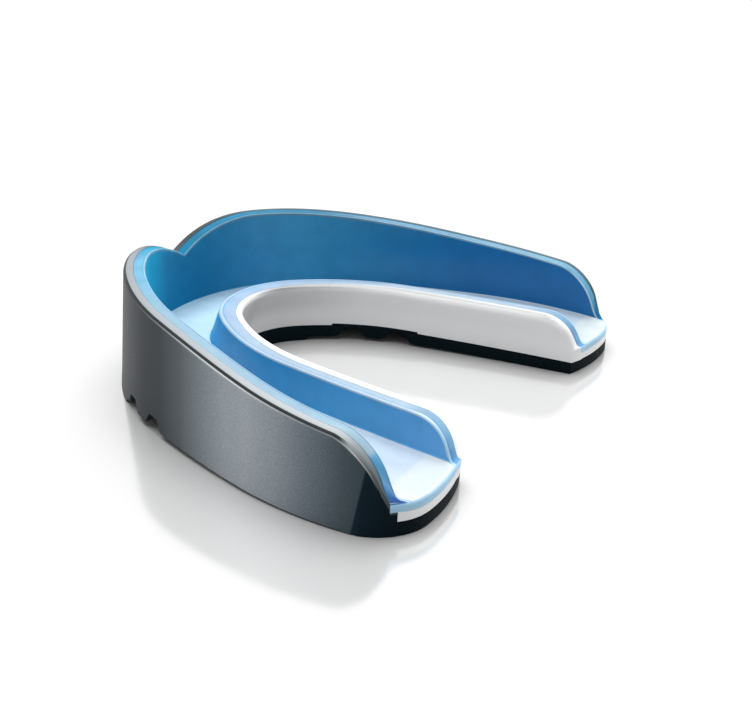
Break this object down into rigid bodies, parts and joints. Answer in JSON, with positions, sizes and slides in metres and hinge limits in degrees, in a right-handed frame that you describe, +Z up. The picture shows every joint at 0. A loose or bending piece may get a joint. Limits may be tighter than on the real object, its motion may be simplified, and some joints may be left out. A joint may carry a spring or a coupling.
{
  "type": "triple-layer sports mouthguard",
  "caption": "U-shaped boil-and-bite mouthguard: metallic grey shell, black rubber sole with breathing channels, white core frame and blue gel liner.",
  "frame": {"origin": "on the ground under the centre of the bounding box, with the guard standing on its front pad and heels", "axes": "+X across the jaw, +Y from the front teeth towards the back teeth, +Z up out of the tooth channel"},
  "size_m": [0.062, 0.0538, 0.015],
  "materials": {
    "outer_shell": "satin gunmetal with a fine metallic fleck",
    "bite_sole": "satin black rubber",
    "core_frame": "glossy white",
    "gel_liner": "soft translucent blue gel"
  },
  "bodies": {
    "root": {"outer_shell": "outer_shell", "bite_sole": "bite_sole", "core_frame": "core_frame", "gel_liner": "gel_liner"}
  },
  "joints": []
}
